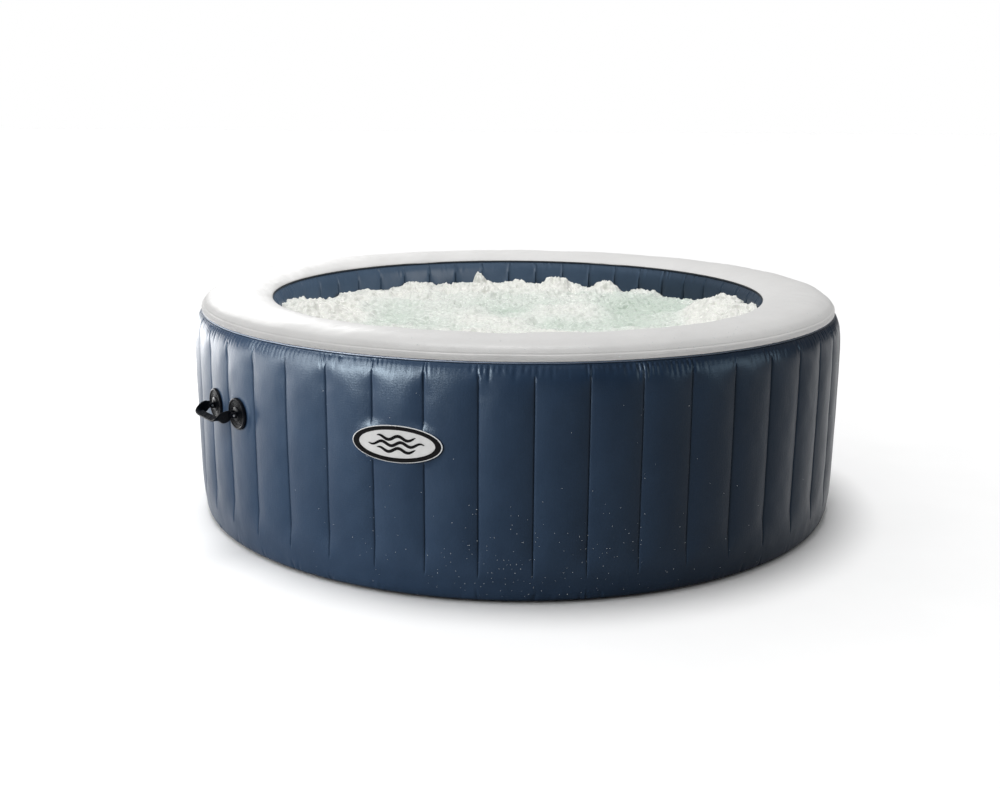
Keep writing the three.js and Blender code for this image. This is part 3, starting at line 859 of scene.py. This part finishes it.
def badge_face():
    shares = np.linspace(0.0, 1.0, 13)
    t = circle(160)
    inset = 0.0108  # from the rim's outer edge
    half = (BADGE_HALF[0] - RIM_ENDS * inset, BADGE_HALF[1] - inset)
    s, t2 = np.meshgrid(shares[1:], t, indexing="ij")
    rise = 0.0014 + 0.0007 * (1 - s**2)
    top = on_badge(half[0] * s * np.cos(t2), half[1] * s * np.sin(t2), rise)
    low = on_badge(half[0] * np.cos(t), half[1] * np.sin(t), np.zeros(len(t)))
    points = np.vstack([on_badge(0.0, 0.0, np.array(0.0021))[None], top.reshape(-1, 3), low,
                        on_badge(0.0, 0.0, np.array(0.0))[None]])
    n = len(t)
    j = np.arange(n)
    k = (j + 1) % n
    rows = grid_faces(len(shares), n, False, True) + 1
    under = 1 + (len(shares) - 1) * n
    fans = [np.stack([0 * j, 1 + j, 1 + k], 1), np.stack([under + k, under + j, 0 * j + under + n], 1)]
    face = outward(mesh_piece("badge_face_detail", points, [rows, *fans]))
    return finish(by_angle(face), SILVER, replaces=["badge_face"])


def badge_waves():
    """Three raised wave strokes, a generic sign for water."""
    parts = []
    for row, (v0, long_) in enumerate(((0.0150, 0.050), (0.0, 0.072), (-0.0150, 0.050))):
        s = np.linspace(-1, 1, 90)
        u = s * long_
        v = v0 + 0.0048 * np.sin(u / 0.0250 * math.pi + (0.0 if row == 1 else 0.9))
        width = 0.0038 * np.sqrt(np.clip(1 - np.abs(s) ** 3.2, 0.02, 1))
        slope = np.gradient(v, u)
        n = np.stack([-slope, np.ones_like(slope)], 1) / np.sqrt(1 + slope**2)[:, None]
        ring = [(-1, 0.0012), (-1, 0.0026), (-0.7, 0.0031), (0.7, 0.0031), (1, 0.0026), (1, 0.0012)]
        rows = [on_badge(u + n[:, 0] * width * a, v + n[:, 1] * width * a, np.full(len(s), h))
                for a, h in ring]
        points = np.stack(rows, 1).reshape(-1, 3)
        parts.append(by_angle(tube("wave", points, len(s), len(ring))))
    return finish(joined("badge_waves", parts), RIM_BLACK)


def badge():
    oval_band("badge_rim_detail", [(0.0010, 0.0), (0.0010, 0.0026), (0.0030, 0.0036),
                                   (0.0092, 0.0036), (0.0112, 0.0022), (0.0112, 0.0)],
              RIM_BLACK, ["badge_rim"])
    oval_band("badge_edge_line", [(-0.0004, 0.0), (-0.0004, 0.0022), (0.0004, 0.0029),
                                  (0.0014, 0.0029), (0.0014, 0.0)], SILVER)
    badge_face()
    badge_waves()


# ------------------------------------------------------------------ fittings
def fitting(node, section, spot, material, body="tub", segments=96, ribs=None,
            bend=0.0009):
    """Turned piece in place of a CAD node."""
    piece = turned(f"{node}_detail", section, spot, segments, ribs, bend)
    finish(by_angle(piece), material, body, [node])


def fittings():
    coupling = [(0.019, 0.704), (0.024, 0.704), (0.024, 0.9848), (0.044, 0.9848), (0.044, 0.9908),
                (0.029, 0.9908), (0.029, 1.030), (0.019, 1.030)]
    cap = [(0, 1.033), (0.0294, 1.033), (0.0294, 0.997), (0.034, 0.997), (0.034, 1.038),
           (0.031, 1.041), (0, 1.041)]
    seal = [(0.0244, 0.9824), (0.041, 0.9824), (0.041, 0.9846), (0.0244, 0.9846)]
    for name, spot in (("outlet", OUTLET), ("inlet", INLET)):
        fitting(f"{name}_coupling", coupling, spot, PORT, "tub", 64, None, 0.0012)
        fitting(f"{name}_cap", cap, spot, CAP, f"{name}_cap", 144,
                (24, 0.0012, 1.000, 1.034), 0.0008)
        fitting(f"{name}_gasket", seal, spot, RUBBER, "tub", 64, None, 0.0006)
    fitting("air_port",
            [(0.013, 0.925), (0.017, 0.925), (0.017, 0.9824), (0.030, 0.9824), (0.030, 0.9864),
             (0.020, 0.9864), (0.020, 1.012), (0.013, 1.012)], AIR, PORT)
    fitting("air_cap",
            [(0, 1.015), (0.0204, 1.015), (0.0204, 0.992), (0.024, 0.992), (0.024, 1.0185),
             (0.0225, 1.020), (0, 1.020)],
            AIR, CAP, "air_cap", ribs=(20, 0.0010, 0.994, 1.018))
    fitting("valve_body",
            [(0.009, 0.955), (0.013, 0.955), (0.013, 0.9824), (0.025, 0.9824), (0.025, 0.9854),
             (0.015, 0.9854), (0.015, 0.996), (0.009, 0.996)], VALVE, PALE)
    fitting("valve_cap",
            [(0, 0.997), (0.0154, 0.997), (0.0154, 0.988), (0.0185, 0.988), (0.0185, 1.001),
             (0, 1.001)],
            VALVE, PALE, "valve_cap", ribs=(18, 0.0007, 0.989, 1.000))
    fitting("drain_body",
            [(0.010, 0.722), (0.014, 0.722), (0.014, 0.978), (0.024, 0.978), (0.024, 0.9815),
             (0.015, 0.9815), (0.015, 0.998), (0.010, 0.998)], DRAIN, PORT)
    fitting("drain_cap",
            [(0, 0.999), (0.0154, 0.999), (0.0154, 0.985), (0.019, 0.985), (0.019, 1.003),
             (0, 1.003)],
            DRAIN, CAP, "drain_cap", ribs=(18, 0.0008, 0.987, 1.002))
    for name, material in (("outlet_screen", PALE), ("inlet_screen", PALE), ("valve_flap", RUBBER),
                           ("drain_plug", RUBBER)):
        dress(name, material)


# ------------------------------------------------------------------ water
def value_noise(x, y, cell, rng):
    """Smooth random field with features about one cell wide, from -1 to 1."""
    reach = 1.1
    count = int(2 * reach / cell) + 4
    grid = rng.uniform(-1, 1, (count, count))
    gx, gy = (x + reach) / cell, (y + reach) / cell
    i, j = np.floor(gx).astype(int), np.floor(gy).astype(int)
    fx, fy = gx - i, gy - j
    fx, fy = fx * fx * (3 - 2 * fx), fy * fy * (3 - 2 * fy)
    a = grid[i, j] * (1 - fx) + grid[i + 1, j] * fx
    b = grid[i, j + 1] * (1 - fx) + grid[i + 1, j + 1] * fx
    return a * (1 - fy) + b * fy


# splashes: place across and along the bath, height, radius
SPLASHES = [(-0.131, 0.570, 0.034, 0.036), (-0.131, 0.560, 0.018, 0.070),
            (0.000, 0.660, 0.016, 0.035), (0.140, 0.655, 0.036, 0.075),
            (0.325, 0.605, 0.034, 0.045), (0.255, 0.600, 0.010, 0.060),
            (-0.370, 0.580, 0.014, 0.045), (-0.235, 0.640, 0.008, 0.050),
            (-0.585, 0.340, 0.028, 0.065), (-0.660, 0.020, 0.050, 0.150),
            (-0.600, 0.200, 0.012, 0.080), (0.600, 0.350, 0.012, 0.050),
            (0.670, 0.130, 0.048, 0.110), (0.690, -0.080, 0.062, 0.140)]


def disc_grid(n):
    """A square grid drawn onto the bath's disc, rings of the square becoming circles."""
    a, b = np.meshgrid(np.linspace(-1, 1, n), np.linspace(-1, 1, n))
    swap = np.abs(a) < np.abs(b)
    major = np.where(swap, b, a)
    minor = np.where(swap, a, b)
    turn = minor / np.where(major == 0, 1, major) * math.pi / 4
    x = WATER_R * np.where(swap, major * np.sin(turn), major * np.cos(turn))
    y = WATER_R * np.where(swap, major * np.cos(turn), major * np.sin(turn))
    return x, y


def water_surface(x, y):
    """Height of the water and how foamy it is."""
    rng = np.random.default_rng(41)
    low = value_noise(x, y, 0.26, rng)
    mid = value_noise(x, y, 0.12, rng)
    z = 0.012 * low + 0.010 * mid
    for cell, height in ((0.062, 0.0080), (0.034, 0.0060), (0.019, 0.0044), (0.011, 0.0036)):
        z = z + height * (1 - 2 * np.abs(value_noise(x, y, cell, rng)))
    rough = value_noise(x, y, 0.022, rng)
    finer = 1 - 2 * np.abs(value_noise(x, y, 0.013, rng))
    jets = np.zeros_like(z)
    for sx, sy, height, radius in SPLASHES:
        swell = np.exp(-(np.hypot(x - sx, y - sy) / radius) ** 2)
        jets = jets + swell * (height + min(height, 0.022) * (0.35 * rough + 0.25 * finer))
    z = WATER_Z + z * (0.8 + 0.2 * smoothstep(0.2, 0.6, y)) + jets
    foam = 0.50 + 0.30 * low + 0.22 * mid + 0.9 * smoothstep(0.0, 0.03, jets)
    calm = np.exp(-(np.hypot(x - 0.42, y - 0.30) / 0.20) ** 2)
    z = z - 0.003 * calm * (1 - 2 * np.abs(rough))
    return z, np.clip(foam - 0.55 * calm, 0, 1)


def water():
    """The bubbling surface with straight sides down to the tub's floor."""
    n = 361
    floor_z = 0.032
    x, y = disc_grid(n)
    z, foam = water_surface(x, y)
    top = np.stack([x, y, z], -1).reshape(-1, 3)
    edge = np.concatenate([np.arange(n), np.arange(1, n) * n + n - 1,
                           (n - 1) * n + np.arange(n - 2, -1, -1), np.arange(n - 2, 0, -1) * n])
    points = np.vstack([top, top[edge] * [1, 1, 0] + [0, 0, floor_z]])
    m = len(edge)
    j = np.arange(m)
    k = (j + 1) % m
    side = np.stack([edge[j], edge[k], len(top) + k, len(top) + j], 1)
    bottom = (len(top) + j)[None, ::-1]
    pool = outward(mesh_piece("water", points, [grid_faces(n, n), side, bottom]))
    layer = pool.data.attributes.new("foam", "FLOAT", "POINT")
    layer.data.foreach_set("value", np.r_[foam.ravel(), np.zeros(m)].astype(np.float32))
    return finish(pool, WATER)


# ------------------------------------------------------------------ droplets
def beads(name, places, normals, sizes, material, flat):
    """Small rounded drops on the surface, joined as one piece; flat is height over width."""
    t = (1 + math.sqrt(5)) / 2
    ball = np.array([(-1, t, 0), (1, t, 0), (-1, -t, 0), (1, -t, 0), (0, -1, t), (0, 1, t),
                     (0, -1, -t), (0, 1, -t), (t, 0, -1), (t, 0, 1), (-t, 0, -1), (-t, 0, 1)])
    ball /= np.linalg.norm(ball[0])
    tri = np.array([
        (0, 11, 5), (0, 5, 1), (0, 1, 7), (0, 7, 10), (0, 10, 11), (1, 5, 9), (5, 11, 4),
        (11, 10, 2), (10, 7, 6), (7, 1, 8), (3, 9, 4), (3, 4, 2), (3, 2, 6), (3, 6, 8),
        (3, 8, 9), (4, 9, 5), (2, 4, 11), (6, 2, 10), (8, 6, 7), (9, 8, 1)])
    along = ball[None] @ np.swapaxes(normals[:, None, :], 1, 2)
    shape = ball[None] - along * normals[:, None, :] * (1 - flat)
    points = places[:, None, :] + shape * sizes[:, None, None]
    faces = (tri[None] + 12 * np.arange(len(places))[:, None, None]).reshape(-1, 3)
    drops = outward(mesh_piece(name, points.reshape(-1, 3), [faces]))
    return finish(drops, material)


def scatter(rng, name, obj, grid_size, wetness, heights, count, sizes):
    """Drops at random places of the skin, kept where the wetness beats a random draw."""
    columns, rows = grid_size
    at, normal = vertex_values(obj, "co"), vertex_values(obj, "normal")
    grid = at[:columns * rows].reshape(rows, columns, 3)
    turn = np.arctan2(grid[0, :, 0], -grid[0, :, 1])
    level = grid[:, 0, 2]
    places = []
    while len(places) < count:
        angle, z = rng.uniform(-math.pi, math.pi), rng.uniform(*heights)
        if rng.uniform() < wetness(angle, z):
            row, column = np.abs(level - z).argmin(), np.abs(turn - angle).argmin()
            places.append(row * columns + column)
    beads(name, at[places], normal[places], rng.uniform(*sizes, count), DROPLET_PAINTED_SPARKLE, 0.45)


def wall_wetness(angle, z):
    """Wettest low down at the front and along three of the weld seams."""
    low = math.exp(-((angle - 0.05) / 0.42) ** 2) * float(smoothstep(0.34, 0.05, z))
    seams = sum(math.exp(-((angle - a) / 0.012) ** 2) for a in (-0.365, -0.51, 0.32))
    return low + 0.5 * seams + 0.015


def ring_wetness(angle, z):
    """Wettest at the front right."""
    return 0.04 + math.exp(-((angle - 0.60) / 0.45) ** 2)


def droplets(wall, ring):
    rng = np.random.default_rng(51)
    scatter(rng, "wall_drops", wall, OUTER_SKIN_GRID, wall_wetness, (0.02, 0.56), 300,
            (0.0005, 0.0011))
    scatter(rng, "ring_drops", ring, (RING_COLUMNS, 40), ring_wetness, (0.612, 0.6485), 110,
            (0.0008, 0.0018))


wall_piece = outer_wall()
inner_wall()
ring_piece = top_ring()
piping("outer_seam_bead", 0.9562, 0.6003, (0.0016, 0.0021), "outer_piping", 31)
piping("inner_seam_bead", 0.7506, 0.6232, (0.0016, 0.0021), "inner_piping", 32)
handles()
badge()
fittings()
water()
droplets(wall_piece, ring_piece)

# ------------------------------------------------------------------ CAD nodes that stay
dress("base_sheet", SHEET)
dress("tub_floor", LINER)
dress("bubble_channel", CHANNEL)
dress("air_duct", CHANNEL)
for node in frame["nodes"]:
    if node.startswith("wall_web_"):
        dress(node, FIBRE)


# ------------------------------------------------------------------ camera, light, floor
def photo_camera():
    """Camera fitted to the tub's outline in the photograph; focal length is in pixels."""
    distance, height, pitch, yaw, roll = 3.66402, 1.18054, 0.23730, -0.01413, 0.00572
    focal, sensor, width = 1182.1, 36.0, 1000
    ahead = Vector((math.sin(yaw) * math.cos(pitch), math.cos(yaw) * math.cos(pitch),
                    -math.sin(pitch)))
    level = Vector((math.cos(yaw), -math.sin(yaw), 0))
    above = level.cross(ahead)
    right = level * math.cos(roll) + above * math.sin(roll)
    up = above * math.cos(roll) - level * math.sin(roll)
    turn = Matrix((right, up, -ahead)).transposed().to_4x4()
    camera = placed("camera", bpy.data.cameras.new("camera"))
    camera.matrix_world = Matrix.Translation((0, -distance, height)) @ turn
    camera.data.sensor_width = sensor
    camera.data.lens = focal * sensor / width
    bpy.context.scene.camera = camera


def ground(half=60.0):
    corners = [(-half, -half, 0), (half, -half, 0), (half, half, 0), (-half, half, 0)]
    floor = mesh_piece("studio_floor", corners, [[(0, 1, 2, 3)]], smooth=False)
    floor.data.materials.append(floor_material())


def key_sun():
    lamp = placed("key_sun", bpy.data.lights.new("key_sun", "SUN"))
    lamp.data.energy = 2.2
    lamp.data.angle = math.radians(23)
    lamp.rotation_euler = Vector((0.07, -0.10, -1.0)).to_track_quat("-Z", "Y").to_euler()


def boxes():
    """Soft boxes, each for some of the pieces; sun and sky light everything."""
    wall = ["outer_wall_skin", "outer_seam_bead"]
    face = ["badge_face_detail", "badge_edge_line"]
    grips = [name for name in bpy.data.objects.keys() if name.startswith("handle_")]
    flank = [*wall, *face, *grips, "studio_floor", "wall_drops"]
    softbox("side_box", (-3.0, 0.5, 0.45), (-0.9, 0, 0.40), (4.0, 0.8), 80, flank)
    softbox("front_panel", (-2.8, -2.0, 1.75), (-0.5, -0.75, 0.55), (2.8, 2.3), 420, wall)
    softbox("front_box", (-2.3, -2.8, 1.35), (-0.4, -0.85, 0.55), (1.5, 1.2), 280, wall)
    fill = softbox("right_box", (2.9, -1.4, 1.2), (-0.3, 0.2, 0.55), (1.6, 1.0), 36, wall + face)
    fill.data.color = (0.72, 0.88, 1.0)
    softbox("ring_box", (-1.5, 1.9, 1.7), (-0.3, 0.3, 0.64), (1.5, 1.0), 27, ["top_ring_skin"])
    softbox("liner_box", (2.4, -1.8, 1.7), (-0.5, 0.5, 0.58), (1.2, 1.2), 125,
            ["inner_wall_skin"])


def sky():
    """White to the camera; as light, brighter on the left and above."""
    world = bpy.data.worlds.new("studio")
    bpy.context.scene.world = world
    world.use_nodes = True
    tree = world.node_tree
    back = tree.nodes["Background"]
    coords = tree.nodes.new("ShaderNodeTexCoord")
    side = tree.nodes.new("ShaderNodeMapRange")
    toward = tree.nodes.new("ShaderNodeVectorMath")
    toward.operation = "DOT_PRODUCT"
    toward.inputs[1].default_value = (-0.25, 0.20, 0.95)
    tree.links.new(coords.outputs["Generated"], toward.inputs[0])
    side.inputs["From Min"].default_value = -0.1
    side.inputs["From Max"].default_value = 0.9
    side.inputs["To Min"].default_value = 0.08
    side.inputs["To Max"].default_value = 0.60
    tree.links.new(toward.outputs["Value"], side.inputs["Value"])
    path = tree.nodes.new("ShaderNodeLightPath")
    pick = tree.nodes.new("ShaderNodeMix")
    pick.inputs["B"].default_value = 1.0
    tree.links.new(path.outputs["Is Camera Ray"], pick.inputs["Factor"])
    tree.links.new(side.outputs["Result"], pick.inputs["A"])
    tree.links.new(pick.outputs["Result"], back.inputs["Strength"])
    back.inputs["Color"].default_value = (1, 1, 1, 1)


def softbox(name, at, aim, size, power, lit):
    """Rectangular lamp that lights only the named pieces."""
    data = bpy.data.lights.new(name, "AREA")
    data.shape = "RECTANGLE"
    data.size, data.size_y = size
    data.energy = power
    lamp = placed(name, data)
    lamp.location = at
    lamp.rotation_euler = (Vector(aim) - Vector(at)).to_track_quat("-Z", "Y").to_euler()
    receivers = bpy.data.collections.new(f"{name}_on")
    for piece in lit:
        receivers.objects.link(bpy.data.objects[piece])
    lamp.light_linking.receiver_collection = receivers
    return lamp


photo_camera()
ground()
sky()
key_sun()
boxes()
bpy.context.scene.view_settings.view_transform = "Standard"
